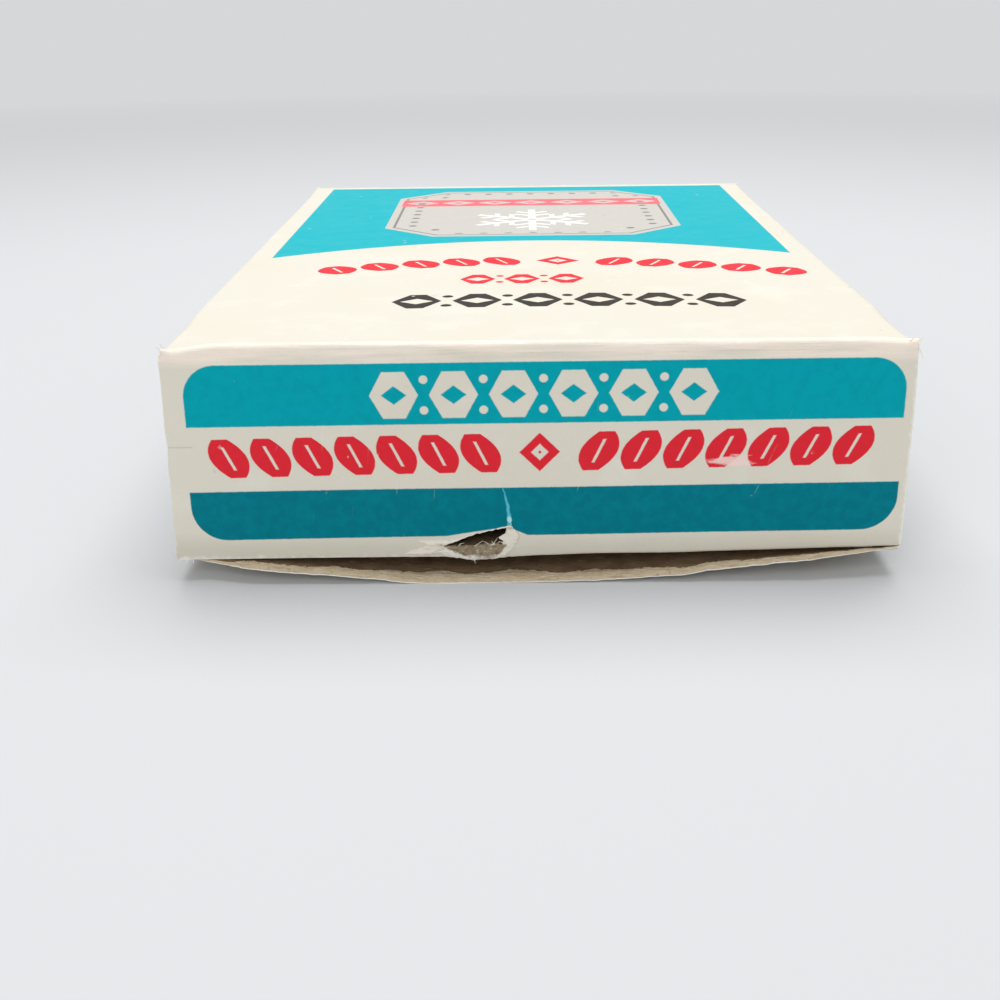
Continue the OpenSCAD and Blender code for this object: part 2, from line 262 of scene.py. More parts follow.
def dress_board(piece, depth, coat_finishes, inner, rule=None):
    """Gives a board its coat outside, its grey face inside and its cut edges.

    depth says how far a place lies under the outer face, as a share of the thickness. The
    rule picks between several coats by place.
    """
    note(piece, "ply", lambda p: min(1.0, max(0.0, depth(p))))
    piece.data.materials.clear()
    for finish in coat_finishes + [inner, EDGE]:
        piece.data.materials.append(finish)
    ply = [value.value for value in piece.data.attributes["ply"].data]
    for face in piece.data.polygons:
        layers = [ply[corner] for corner in face.vertices]
        if max(layers) < 0.06:
            face.material_index = rule(face.center / MM) if rule else 0
        else:
            face.material_index = len(coat_finishes) + (min(layers) < 0.94)


def smooth(piece, angle):
    """Shades a piece smooth, apart from edges that are sharper than the angle, in degrees."""
    choose(piece)
    bpy.ops.object.shade_smooth_by_angle(angle=math.radians(angle))


def place_in_frame(piece, body, slot, *nodes):
    """Makes a piece ride on a body and stand for its CAD nodes."""
    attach(piece, body)
    if nodes:
        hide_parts(*nodes)


# ============================================================ materials ====

def add_node(tree, kind, inputs=(), **settings):
    """Adds a shader node and sets it up; each input is a value, or a socket to link."""
    node = tree.nodes.new("ShaderNode" + kind)
    for name, value in settings.items():
        setattr(node, name, value)
    for name, value in dict(inputs).items():
        if isinstance(value, bpy.types.NodeSocket):
            tree.links.new(value, node.inputs[name])
        else:
            node.inputs[name].default_value = value
    return node


def linear(colour):
    """A colour given as it looks on screen, 0 to 255, as the shader takes it."""
    return (*[((c / 255 + 0.055) / 1.055) ** 2.4 if c > 10 else c / 255 / 12.92 for c in colour], 1)


class Field:
    """A number that changes over a surface, worked out by Math nodes."""

    def __init__(self, tree, socket):
        self.tree = tree
        self.socket = socket

    def run(self, operation, *others, clamp=False):
        values = [value.socket if isinstance(value, Field) else value for value in (self, *others)]
        node = add_node(self.tree, "Math", enumerate(values), operation=operation, use_clamp=clamp)
        return Field(self.tree, node.outputs[0])

    def __add__(self, other):
        return self.run("ADD", other)

    def __sub__(self, other):
        return self.run("SUBTRACT", other)

    def __rsub__(self, other):
        return self.run("MULTIPLY_ADD", -1.0, other)

    def __mul__(self, other):
        return self.run("MULTIPLY", other)

    def __truediv__(self, other):
        return self.run("DIVIDE", other)

    def size(self):
        return self.run("ABSOLUTE")

    def low(self, other):
        return self.run("MINIMUM", other)

    def high(self, other):
        return self.run("MAXIMUM", other)

    def clamp(self):
        return self.run("ADD", 0.0, clamp=True)

    def with_length(self, other):
        """Length of the slanting side over this one and another."""
        return (self * self + other * other).run("SQRT")

    def repeat(self, pitch):
        """Distance from the nearest of evenly spaced centres."""
        return self - (self / pitch).run("ROUND") * pitch

    def inside(self, soft=0.08):
        """1 where a signed distance is below zero, with a soft edge."""
        return self.run("MULTIPLY_ADD", -1.0 / soft, 0.5, clamp=True)

    def above(self, edge, width):
        """0 below an edge and 1 a width beyond it."""
        return ((self - edge) * (1.0 / width)).clamp()


class Finish:
    """A material in the making: its shader, its Object coordinates in mm, and its layers."""

    def __init__(self, name, colour, roughness, **sockets):
        self.material = bpy.data.materials.new(name)
        self.material.use_nodes = True
        self.tree = self.material.node_tree
        self.shader = self.tree.nodes["Principled BSDF"]
        self.colour = linear(colour)
        for socket, value in {"Base_Color": self.colour, "Roughness": roughness, **sockets}.items():
            self.shader.inputs[socket.replace("_", " ")].default_value = value
        coordinates = add_node(self.tree, "TexCoord").outputs["Object"]
        self.object_mm = self.vector("MULTIPLY", coordinates, (1 / MM,) * 3)
        split = add_node(self.tree, "SeparateXYZ", {0: self.object_mm})
        self.x, self.y, self.z = (Field(self.tree, out) for out in split.outputs)

    def vector(self, operation, *values):
        return add_node(self.tree, "VectorMath", enumerate(values), operation=operation).outputs[0]

    def placed(self, scales, seed, turn=0.0):
        """Object coordinates turned about a slanting axis, scaled, and moved by a seed."""
        where = self.object_mm
        if turn:
            where = add_node(self.tree, "VectorRotate", {
                "Vector": where, "Axis": (0.4, 0.3, 0.86), "Angle": math.radians(turn)}).outputs[0]
        return self.vector("MULTIPLY_ADD", where, scales, (seed, seed * 0.7, -seed))

    def noise(self, grain, detail=3.0, stretch=(1, 1, 1), seed=0.0, turn=0.0):
        """Noise about 0.5 whose patches are about a grain wide, in mm."""
        where = self.placed([1 / (grain * s) for s in stretch], seed, turn)
        node = add_node(self.tree, "TexNoise", {
            "Vector": where, "Scale": 1.0, "Detail": detail, "Roughness": 0.55})
        return Field(self.tree, node.outputs["Fac"])

    def specks(self, grain, share, seed):
        """1 inside scattered ragged specks, 0 between them."""
        node = add_node(self.tree, "TexVoronoi", {
            "Vector": self.placed([1 / grain] * 3, seed), "Scale": 1.0})
        ragged = self.noise(0.4, detail=4, seed=seed) * 0.3 - 0.15
        return (Field(self.tree, node.outputs["Distance"]) + ragged - share).inside(0.05)

    def attribute(self, name):
        """A number that the mesh carries under this name."""
        node = add_node(self.tree, "Attribute", attribute_name=name)
        return Field(self.tree, node.outputs["Fac"])

    def paint(self, colour, mask):
        """Lays a colour over what is there, where the mask says."""
        mix = add_node(self.tree, "Mix", {
            "Factor": mask.socket, "A": self.colour, "B": linear(colour)}, data_type="RGBA")
        self.colour = mix.outputs["Result"]
        self.tree.links.new(self.colour, self.shader.inputs["Base Color"])

    def roughen(self, field):
        self.tree.links.new(field.socket, self.shader.inputs["Roughness"])

    def emboss(self, height, depth):
        """Raises the surface by a height from 0 to 1, depth mm high."""
        bump = add_node(self.tree, "Bump", {
            "Height": height.socket, "Distance": depth * MM, "Strength": 1.0})
        self.tree.links.new(bump.outputs[0], self.shader.inputs["Normal"])


# ---- Ink and board colours, as they look on screen ----
CREAM = (222, 217, 202)
CREAM_AGED = (216, 205, 178)
COAT_WHITE = (240, 238, 230)
# painted highlight for the strip along the top of an end panel
TOP_STRIP_HIGHLIGHT = (250, 236, 220)
HANDLED = (203, 198, 181)
FLECK = (84, 66, 50)
TEAL_INK = (0, 162, 175)
TEAL_DEEP = (0, 117, 132)
TEAL_TOP = (0, 176, 187)
RED_INK = (224, 44, 56)
RED_DEEP = (204, 36, 50)
BLACK_INK = (50, 42, 36)
BLACK_FADED = (76, 62, 52)
GREY_INK = (196, 192, 184)
GREY_PALE = (216, 213, 206)
GREY_DARK = (112, 110, 106)
PINK_INK = (236, 112, 120)
GREYBOARD = (138, 116, 90)
GREYBOARD_DARK = (96, 76, 56)
FIBRE = (204, 186, 156)
PULP_PALE = (232, 224, 206)
PULP_DARK_AND_SHADE = (104, 86, 64)
TEAL_RUBBED = (96, 200, 214)
TEAL_PALE = (176, 230, 234)
RED_RUBBED = (246, 216, 208)
COAT_BARE = (234, 229, 217)
PULP = (144, 130, 107)
PULP_LAYER = (158, 138, 108)
CREASE_LINE_GREY = (190, 182, 166)
DISTANCE = (214, 215, 217)

# Heights on the ends and the sides between which the pale band runs
BAND_LOW, BAND_HIGH = 10.4, 17.4


def coat(name):
    """Clay-coated white face of the board, before any ink."""
    made = Finish(name, CREAM, roughness=0.42, Specular_IOR_Level=0.05)
    made.paint(CREAM_AGED, made.noise(17, detail=4, seed=3).above(0.45, 0.4) * 0.35)
    made.paint(COAT_WHITE, made.noise(6, seed=9).above(0.55, 0.25) * 0.3)
    return made


def age(made, rim, height=None):
    """Rubs, specks, yellowing and paper grain over everything that is printed."""
    rubs = made.specks(2.6, 0.07, seed=5)
    made.paint(COAT_WHITE, rubs * made.noise(9, seed=2).above(0.55, 0.05) * 0.8)
    nicks = made.specks(4.1, 0.04, seed=11)
    made.paint(GREYBOARD, nicks * made.noise(13, seed=4).above(0.55, 0.05) * 0.6)
    for turn in (24, 101):
        # fine scratches from handling, in two directions
        hairs = made.noise(0.13, detail=2, stretch=(60, 1, 60), seed=turn, turn=turn)
        patches = made.noise(7, seed=turn + 1).above(0.52, 0.1)
        made.paint(COAT_WHITE, hairs.above(0.73, 0.03) * patches * 0.28)
    rubbed = made.noise(0.9, detail=5, seed=12)
    made.paint(COAT_WHITE, (rubbed * 1.6 - rim * 1.3).above(0.45, 0.6) * 0.8)
    grain = made.noise(0.35, detail=4, seed=1) * 0.25 + made.noise(5, detail=2, seed=7)
    made.emboss(grain if height is None else grain + height, 0.06)
    made.roughen(made.noise(3, seed=6) * 0.22 + 0.34)


def ink(made, colour, deep, shape, ragged):
    """Prints a shape in a solid ink that lies a little unevenly."""
    edge = (shape + ragged).inside(0.1)
    made.paint(colour, edge)
    made.paint(deep, edge * made.noise(1.1, detail=5, seed=colour[0] * 0.1).above(0.42, 0.3) * 0.2)


def rounded_box(x, z, low, high, radius):
    """Signed distance to a box with rounded corners."""
    mid = [(a + b) / 2 for a, b in zip(low, high)]
    half = [(b - a) / 2 for a, b in zip(low, high)]
    dx = (x - mid[0]).size() - (half[0] - radius)
    dz = (z - mid[1]).size() - (half[1] - radius)
    return dx.high(0).with_length(dz.high(0)) + dx.high(dz).low(0) - radius


def slab(x, low, high):
    """Signed distance to the band between two places."""
    return (x - (low + high) / 2).size() - (high - low) / 2


def jewel_row(x, z, mid, count, pitch, width, height):
    """Row of cut-cornered blocks with a lozenge left out of each, and a bead between them."""
    along = (x - mid[0]) + (0 if count % 2 else pitch / 2)
    u = along.repeat(pitch).size()
    up = (z - mid[1]).size()
    block = (up - height / 2).high((u + up * 0.55 - width / 2) * 0.88)
    hole = (u * 0.75 + up - height * 0.2) * 0.8
    beads = (along + pitch / 2).repeat(pitch).with_length(up - height * 0.33) - height * 0.09
    far = (x - mid[0]).size() - count * pitch / 2
    return block.high(hole * -1).high(far).low(beads.high(far + pitch * 0.7))


def leaf_row(x, z, mid, count, pitch, width, height, slant):
    """Row of leaves that lean away from a lozenge in the middle, each with a fine rib."""
    aside = (x - mid[0]).size() - pitch * 0.9
    up = z - mid[1]
    along = aside - up * slant - pitch / 2
    u = along.repeat(pitch)
    leaf = (up.size() - height / 2).high(u.size() + up * up * (1.1 / height) - width / 2)
    rib = (0.16 - (u - up * 0.08).size()).low(height * 0.3 - up.size())
    reach = (along + pitch / 2 - count * pitch).high((along + pitch / 2) * -1)
    leaves = leaf.high(rib).high(reach)
    diamond = (aside + pitch * 0.9 + up.size() - height * 0.5) * 0.7
    centre = diamond.high((diamond + height * 0.2) * -1)
    return leaves.low(centre).low(diamond + height * 0.32)


def tear_marks(made, ragged):
    """What the front end shows round its tear; gives back how far the coat is crinkled there."""
    x, z = made.x, made.z
    # a bright scratch with a blob near its foot runs up from the tear
    bent = x + (z - 6) * (z - 6) * 0.035 + 2.8 + (made.noise(0.8, seed=23) - 0.5) * 0.3
    scratch = (bent.size() - 0.24 + (z - 6).high(0) * 0.045).high(5.6 - z).high(z - BAND_LOW)
    made.paint(TEAL_RUBBED, (scratch + ragged * 2).inside(0.12) * 0.8)
    blob = (bent * 1.3).with_length((z - 6.75) * 0.75) - 0.28
    made.paint(TEAL_PALE, (blob + ragged * 3).inside(0.15))
    # a rub crosses the red leaves
    rub = ((x - 20.2) * 0.25).with_length(z - 13.1 - (x - 20.2) * 0.05) - 0.5
    patchy = made.noise(0.5, detail=5, stretch=(3, 1, 1), seed=19)
    made.paint(RED_RUBBED, (rub + patchy * 1.4 - 0.66).inside(0.25) * 0.85)
    # the coat has lost its print round the tear
    bare = made.attribute("torn") + (made.noise(0.4, detail=5, seed=17) - 0.5) * 0.6
    fibrous = made.noise(0.5, detail=5, stretch=(4, 1, 1), seed=31).above(0.56, 0.1)
    made.paint(COAT_BARE, bare.above(0.45, 0.12))
    made.paint(FIBRE, bare.above(0.5, 0.3) * fibrous * 0.5)
    # pulp laid bare under the slit, in a lens that narrows towards the fold
    fuzzy = (made.noise(0.5, detail=5, seed=29) - 0.5) * 0.7
    leftwards = ((x + 9.9) * -1.5 - (z - 3.75) * 3.4) * 0.27
    rightwards = ((x + 3.2) * 1.41 - (z - 3.75) * 1.3) * 0.52
    lens = leftwards.high(rightwards).high(z - 4.0) + fuzzy
    made.paint((232, 226, 212), (lens - 0.4).inside(0.15))
    pulp = lens.inside(0.2)
    made.paint(PULP, pulp)
    made.paint(PULP_DARK_AND_SHADE, pulp * made.noise(0.5, detail=6, seed=3).above(0.5, 0.15) * 0.6)
    wisps = made.noise(0.3, detail=6, stretch=(2, 1, 1), seed=5).above(0.56, 0.1)
    made.paint(PULP_PALE, pulp * wisps * 0.45)
    # a faint crease across the left edge, with a grey line painted along it
    made.paint(CREASE_LINE_GREY, slab(z, 15.0, 15.16).high(x + 35.4).inside(0.1) * 0.5)
    return bare.clamp() * made.noise(0.3, detail=5, seed=18) * 3


def printed_end(torn=False):
    """End panel: two teal bars, a row of white jewels and a band of red leaves."""
    made = coat("printed_end_torn" if torn else "printed_end")
    x = made.x
    ragged = (made.noise(0.45, detail=4, seed=8) - 0.5) * 0.1
    # painted highlight: the strip over the upper bar is painted lighter in streaks, as where the
    # board tilts up into the overhead light
    highlight_streaks = made.noise(2.5, detail=5, stretch=(4, 1, 0.3), seed=15).above(0.3, 0.3)
    made.paint(TOP_STRIP_HIGHLIGHT, (made.z - 23.4).clamp() * highlight_streaks * 0.85)
    # the strip under the lower bar has gone grey with handling
    made.paint(HANDLED, ((5.6 - made.z) * 0.5).clamp() * 0.75)
    # the print was laid on a little askew, more so towards its foot
    z = made.z - x * (0.0125 - made.z * 0.0004)
    upper = rounded_box(x, z, (-35.9, 12), (37.45, 23.85), 3.4).high(BAND_HIGH - z)
    foot = z
    if torn:
        # the board is pushed in over the tear, so the bar's lower edge rises there
        rise = (0.85 - ((x + 2.9) * -0.13).high((x + 2.9) * 0.42)).high(0)
        foot = z - rise * (BAND_LOW - z).clamp()
    lower = rounded_box(x, foot, (-36.2, 5.02), (37.6, 15), 3.7).high(z - BAND_LOW)
    jewels = jewel_row(x, z, (0.8, 20.5), 6, 6.1, 5.0, 4.9)
    ink(made, TEAL_INK, TEAL_DEEP, upper.high(jewels * -1), ragged)
    ink(made, TEAL_DEEP, TEAL_INK, lower, ragged)
    leaves = leaf_row(x, z - x * 0.0078, (0.4, 14.25), 7, 4.35, 3.9, 4.2, 0.4)
    ink(made, RED_INK, RED_DEEP, leaves, ragged)
    crinkles = made.noise(0.5, detail=5, stretch=(9, 1, 0.5), seed=16) * (z - 23.9).clamp() * 1.6
    if torn:
        crinkles = crinkles + tear_marks(made, ragged)
    # the coat is rubbed along the four edges, most at the corners
    made.paint(COAT_WHITE, (x.size() - 38.3).above(0, 0.12) * 0.5)
    side = 38.4 - x.size()
    age(made, side.low(TOP_Z - made.z + 0.2).low(made.z - FOLD_Z + 0.5), crinkles)
    return made.material


def printed_top():
    """Top panel: rows of blocks and leaves, and a grey plaque on a teal field."""
    made = coat("printed_top")
    x, y = made.x, made.y
    ragged = (made.noise(0.5, detail=4, seed=8) - 0.5) * 0.12
    field = (x.size() - 34.4).high(1.0 - y - x * x * 0.0095).high(y - 54.9)
    ink(made, TEAL_TOP, TEAL_INK, field, ragged)
    # grey plaque with cut corners, a dark line round it and a row of dots inside the line
    dx, dy = (x - 0.6).size(), (y - 27.5).size()
    plaque = (dx - 22).high(dy - 22.5).high((dx + dy - 37) * 0.7)
    ink(made, GREY_INK, GREY_PALE, plaque, ragged)
    made.paint(GREY_DARK, slab(plaque, -1.5, -1.1).inside() * 0.8)
    dots = (x - 0.6).repeat(3.6).with_length(y.repeat(3.6)) - 0.62
    made.paint(GREY_DARK, dots.high(slab(plaque, -5.2, -2.2)).inside() * 0.8)
    # snow crystal in the near half
    u, v = x - 0.6, y - 19.5
    reach = u.with_length(v)
    angle = (v.run("ARCTAN2", u) + math.pi / 2).repeat(math.pi / 3)
    out, off = reach * angle.run("COSINE"), reach * angle.run("SINE").size()
    arms = (off - 0.55).high(out - 9.6)
    for place, length in ((3.6, 2.3), (6.2, 2.0)):
        arms = arms.low((off * 0.5 - (out - place) * 0.866).size().high(off - length) - 0.4)
    made.paint(COAT_WHITE, arms.low(reach - 1.5).high((reach - 0.7) * -1).inside())
    # salmon band with pale lozenges in the far half
    band = slab(y, 33.6, 40.4).high(dx - 21.2)
    lozenges = (u.repeat(6).size() * 0.7 + (y - 37).size() - 2.0) * 0.8
    salmon = band.high(lozenges * -1).low(lozenges + 1.0).high(dx - 21.2)
    ink(made, PINK_INK, RED_INK, salmon, ragged)
    # three rows of ornaments on the near half; the first and the last are bowed
    near_row = jewel_row(x, y + x * x * 0.0022, (4, -37.2), 6, 6.9, 5.7, 7.0)
    ink(made, BLACK_INK, BLACK_FADED, near_row, ragged)
    ink(made, RED_INK, RED_DEEP, jewel_row(x, y, (-1.2, -25.4), 3, 5.4, 4.4, 5.4), ragged)
    far_row = leaf_row(x, y + x * x * 0.0085, (3.5, -13.8), 5, 5.2, 4.6, 5.6, 0.35)
    ink(made, RED_INK, RED_DEEP, far_row, ragged)
    bowed = made.noise(0.5, detail=5, stretch=(9, 1, 1), seed=16) * (y.size() - 55).clamp()
    age(made, (38 - x.size()).low(56.4 - y.size()), bowed)
    return made.material


def printed_side():
    """Side walls: two teal bars and a band of red leaves, as on the ends."""
    made = coat("printed_side")
    y, z = made.y, made.z
    ragged = (made.noise(0.5, detail=4, seed=8) - 0.5) * 0.12
    upper = rounded_box(y, z, (-54.4, 12), (54.4, 23.4), 3.4).high(BAND_HIGH - z)
    lower = rounded_box(y, z, (-54.4, 5.2), (54.4, 15), 3.7).high(z - BAND_LOW)
    ink(made, TEAL_INK, TEAL_DEEP, upper, ragged)
    ink(made, TEAL_DEEP, TEAL_INK, lower, ragged)
    ink(made, RED_INK, RED_DEEP, leaf_row(y, z, (0, 14), 10, 4.6, 4.0, 4.2, 0.4), ragged)
    age(made, (z - SAG).low(TOP_Z - z).low(57.5 - y.size()))
    return made.material


def plain_coat():
    """Unprinted face of the board: the bottom and the flaps."""
    made = coat("plain_coat")
    smears = made.noise(8, detail=5, stretch=(1, 3, 1), seed=21)
    made.paint((192, 184, 166), smears.above(0.56, 0.2) * 0.5)
    age(made, 59.5 - made.y.size())
    return made.material


def greyboard(lip=False):
    """Inner face of the board: grey-brown, with fibres and dark flecks."""
    made = Finish("greyboard_lip" if lip else "greyboard", GREYBOARD, roughness=0.9,
                  Specular_IOR_Level=0.06)
    made.paint(GREYBOARD_DARK, made.noise(2.2, detail=6, seed=1).above(0.42, 0.3) * 0.6)
    made.paint(FIBRE, made.noise(0.5, detail=5, stretch=(3, 1, 1), seed=2).above(0.6, 0.12) * 0.4)
    made.paint(FLECK, made.specks(1.7, 0.08, seed=3) * 0.6)
    made.paint(FLECK, made.noise(0.24, detail=4, seed=12).above(0.55, 0.14) * 0.4)
    height = made.noise(0.4, detail=6, stretch=(2, 1, 1), seed=5)
    if lip:
        # near its cut edge the inner ply has come away in a ragged line, and pale pulp shows
        shallow = (((made.x + 3.5).size() - 10) / 12).clamp() * 0.9
        wavy = (made.noise(4.5, detail=2, stretch=(1, 9, 9), seed=9) - 0.5) * 3.2
        jagged = (made.noise(0.6, detail=5, seed=4) - 0.5) * 1.3
        torn_off = made.y.size() - shallow - 56.3 + wavy + jagged
        bared = torn_off.above(0.0, 0.1)
        # painted shadow: a dark band on the inner ply just inside its torn line, where the end
        # panel's shadow falls over the lip
        made.paint(PULP_DARK_AND_SHADE, torn_off.above(-0.35, 0.25) * 0.7)
        made.paint(FIBRE, torn_off.above(0.0, 0.08))
        fuzz = made.noise(0.35, detail=6, stretch=(3, 1, 1), seed=8)
        made.paint(PULP_PALE, bared * fuzz.above(0.54, 0.12) * 0.5)
        made.paint((166, 146, 116), bared * fuzz.above(0.48, -0.1) * 0.5)
        made.paint(PULP_DARK_AND_SHADE, bared * made.noise(0.26, detail=4, seed=14).above(0.56, 0.12) * 0.4)
        height = height - torn_off.above(0.0, 0.2) * 0.8
    made.emboss(height, 0.14)
    return made.material


def board_edge():
    """Cut edge of the board: white coat at its outer side, then pulp in layers."""
    made = Finish("board_edge", FIBRE, roughness=0.92, Specular_IOR_Level=0.15)
    ply = made.attribute("ply")
    layers = made.noise(0.3, detail=4, stretch=(8, 8, 1), seed=6)
    made.paint(PULP_LAYER, layers.above(0.5, 0.2) * 0.7)
    made.paint(PULP_DARK_AND_SHADE, made.noise(0.5, detail=6, seed=8).above(0.6, 0.12) * 0.5)
    white = (0.24 - ply) + (made.noise(0.6, detail=5, seed=3) - 0.5) * 0.14
    made.paint(COAT_WHITE, white.above(0, 0.06))
    made.emboss(made.noise(0.25, detail=5, stretch=(3, 3, 1), seed=9), 0.2)
    return made.material


def torn_board():
    """Pulp laid bare in a tear."""
    made = Finish("torn_board", (176, 158, 128), roughness=0.95, Specular_IOR_Level=0.1)
    made.paint(PULP_DARK_AND_SHADE, made.noise(0.45, detail=6, seed=3).above(0.47, 0.2) * 0.7)
    made.paint(PULP_PALE, made.noise(0.3, detail=6, seed=5).above(0.56, 0.12) * 0.7)
    made.emboss(made.noise(0.3, detail=6, seed=7), 0.3)
    return made.material


def torn_paper():
    """White coat that has come off in thin, fibrous flakes."""
    made = Finish("torn_paper", (232, 226, 210), roughness=0.85, Specular_IOR_Level=0.2)
    made.paint(FIBRE, made.noise(0.4, detail=6, stretch=(3, 1, 1), seed=5).above(0.55, 0.15) * 0.5)
    made.emboss(made.noise(0.25, detail=6, stretch=(3, 1, 1), seed=7), 0.15)
    return made.material


def metal(name, colour, roughness, scratch, seed):
    """Plated sheet metal with fine scratches and finger marks."""
    made = Finish(name, colour, roughness=roughness, Metallic=1.0)
    marks = made.noise(7, detail=4, seed=seed)
    hair = made.noise(0.5, detail=3, stretch=(1, 14, 1), seed=seed + 4)
    made.paint(tuple(c * 0.82 for c in colour), marks.above(0.5, 0.3) * 0.5)
    made.roughen(marks * 0.14 + hair * scratch + (roughness - 0.07))
    made.emboss(hair, 0.01)
    return made.material


def cloth_finish(name, colour, deep, pitch, nap, seam):
    """Soft fabric: a twill showing faintly through its nap, and a row of stitches.

    seam gives half the width and half the length of the line of stitching.
    """
    made = Finish(name, colour, roughness=0.95, Specular_IOR_Level=0.1, Sheen_Weight=0.35,
                  Sheen_Roughness=0.4)
    twill = ((made.x + made.y) * (2 * math.pi / pitch)).run("SINE") * 0.5 + 0.5
    fuzz = made.noise(0.35, detail=6, seed=2)
    made.paint(deep, (twill * 0.5 + fuzz * 0.8).above(0.45, 0.5) * 0.7)
    bright = tuple(min(255, c + 34) for c in colour)
    made.paint(bright, made.noise(0.6, detail=6, seed=6).above(0.58, 0.1) * 0.4)
    inset = (made.x.size() - seam[0]).high(made.y.size() - seam[1])
    along = (made.x + made.y).repeat(2.4).size() - 0.8
    made.paint((214, 196, 176), (inset.size() - 0.16).high(along).inside(0.08) * 0.85)
    made.emboss(twill * 0.4 + fuzz, nap)
    return made.material


def fibre_finish(name, colour, deep, grain, depth):
    """Loose or felted fibres."""
    made = Finish(name, colour, roughness=0.97, Specular_IOR_Level=0.1, Sheen_Weight=0.2)
    strands = made.noise(grain, detail=6, stretch=(2.5, 1, 1), seed=1).above(0.45, 0.3)
    made.paint(deep, strands * 0.7)
    made.paint(deep, made.noise(grain * 4, detail=4, seed=4).above(0.5, 0.3) * 0.4)
    made.emboss(made.noise(grain, detail=6, stretch=(1, 3, 1), seed=2), depth)
    return made.material


def paper_finish():
    """Thin uncoated paper with faint grey lines of print, all bars."""
    made = Finish("leaflet_paper", (228, 227, 218), roughness=0.8, Specular_IOR_Level=0.25)
    made.paint((214, 208, 188), made.noise(14, detail=4, seed=2).above(0.45, 0.3) * 0.5)
    lines = made.y.repeat(2.6).size() - 0.32
    gaps = (made.noise(2.4, detail=1, stretch=(1, 0.2, 1), seed=6) - 0.62) * 2
    block = rounded_box(made.x, made.y, (-24, -36), (24, 34), 0.5)
    made.paint((120, 118, 116), lines.high(gaps).high(block).inside(0.12) * 0.75)
    made.emboss(made.noise(0.5, detail=5, seed=4) + made.y.repeat(28).size().inside(0.5), 0.04)
    return made.material


FRONT_PRINT = printed_end(torn=True)
REAR_PRINT = printed_end()
TOP_PRINT = printed_top()
SIDE_PRINT = printed_side()
PLAIN = plain_coat()
GREY = greyboard()
GREY_LIP = greyboard(lip=True)
EDGE = board_edge()
TORN = torn_board()
FLAKE = torn_paper()
CHROME = metal("chromed_brass", (214, 216, 220), 0.14, 0.06, 2)
NICKEL = metal("nickel_plate", (188, 184, 176), 0.3, 0.12, 5)
STEEL = metal("steel_gauze", (150, 152, 156), 0.36, 0.12, 9)
HEM = 4.2
FLANNEL = cloth_finish("flannel", (146, 26, 34), (104, 14, 22), 0.9, 0.25,
                       (POUCH_HIGH.x - HEM, POUCH_HIGH.y - HEM))
COTTON = fibre_finish("cotton", (236, 234, 226), (206, 202, 190), 0.7, 0.5)
FELT = fibre_finish("felt", (214, 208, 192), (182, 174, 156), 0.4, 0.3)
CATALYST = fibre_finish("catalyst", (112, 108, 104), (66, 62, 60), 0.35, 0.35)
PAPER = paper_finish()


# =============================================================== carton ====

# What the photograph shows of the front end's worn edges, as X and a value. The bottom
# panel's lip has a height, a share of its overhang that is left, and a thickness; the
# end panel has the height of its lower fold.
LIP_Z = [(-38, 2.35), (-36.8, 2.25), (-32.8, 1.95), (-27.4, 1.44), (-22, 1.0), (-16.6, 0.46),
         (-13.4, 0.05), (-9.9, 0.0), (-3.4, 0.03), (1.2, 0.1), (6.2, 0.2), (15.3, 0.75), (18, 1.24),
         (26.5, 2.16), (33.4, 2.85), (37, 3.15), (38, 3.25)]
LIP_LEFT = [(-38, 0.12), (-36.5, 0.2), (-34, 0.5), (-31, 0.9), (-28, 1), (29, 1), (34, 0.75),
            (38, 0.45)]
LIP_THICK = [(-38, 0.12), (-34, 0.3), (-29, BOARD), (28, BOARD), (34, 0.3), (38, 0.15)]
FOLD_LINE = [(-38, 2.45), (-12.6, 2.45), (-9, 2.45), (-7.5, 2.3), (-6.4, 2.07), (-5, 2.25),
             (-3.4, 2.42), (1.2, 2.6), (7, 2.75), (15, 2.75), (27, 3.1), (38, 3.42)]
KINKS = (-13.0, 6.0)
# How far the front's walls stand out, as height and distance
LEAN_RIGHT = [(3, 0.46), (11, 0.52), (19, 0.48), (24, 0.34), (26, 0.28)]
LEAN_LEFT = [(3, 0.34), (11, 0.14), (16, 0.12), (20, 0.06), (24, -0.08), (26, -0.05)]


def lean(x, z, side):
    """How far the walls and the end panel stand out past their size at one end, at a height."""
    right, left = between(LEAN_RIGHT, z), between(LEAN_LEFT, z)
    if side == REAR:
        return 0.5 * (left if x > 0 else right)
    return right if x > 0 else left


def crushed(x, y, z):
    """How the worn upper corners of the front sit lower than their true height."""
    if y > -54:
        return z
    near = ease((-y - 54) / 2.4) * ease((z - 22.5) / 3)
    return z - near * (0.6 * ease((-x - 32) / 5.6) + 0.22 * ease((x - 34) / 3.8))


def fold_line(x, side):
    """Height of an end panel's lower fold; the rear one is worn much less."""
    if side == FRONT:
        return between(FOLD_LINE, x)
    return 0.8 * FOLD_Z + 0.2 * between(FOLD_LINE[:1] + FOLD_LINE[7:], -x)


def bottom_rest(x):
    """Height of the bottom panel's outer face: a flat strip between two slopes."""
    left, right = KINKS
    if x < left:
        return SAG * (left - x) / (left + HALF_W)
    return SAG * max(0.0, x - right) / (HALF_W - right)


def sleeve_depth(p):
    """How far a place lies under the sleeve's outer face, in board thicknesses."""
    aside, down = HALF_W - abs(p.x), TOP_Z - p.z
    if aside < CREASE_R and down < CREASE_R:
        return (CREASE_R - math.hypot(CREASE_R - aside, CREASE_R - down)) / BOARD
    return min(aside, down, p.z - bottom_rest(p.x)) / BOARD


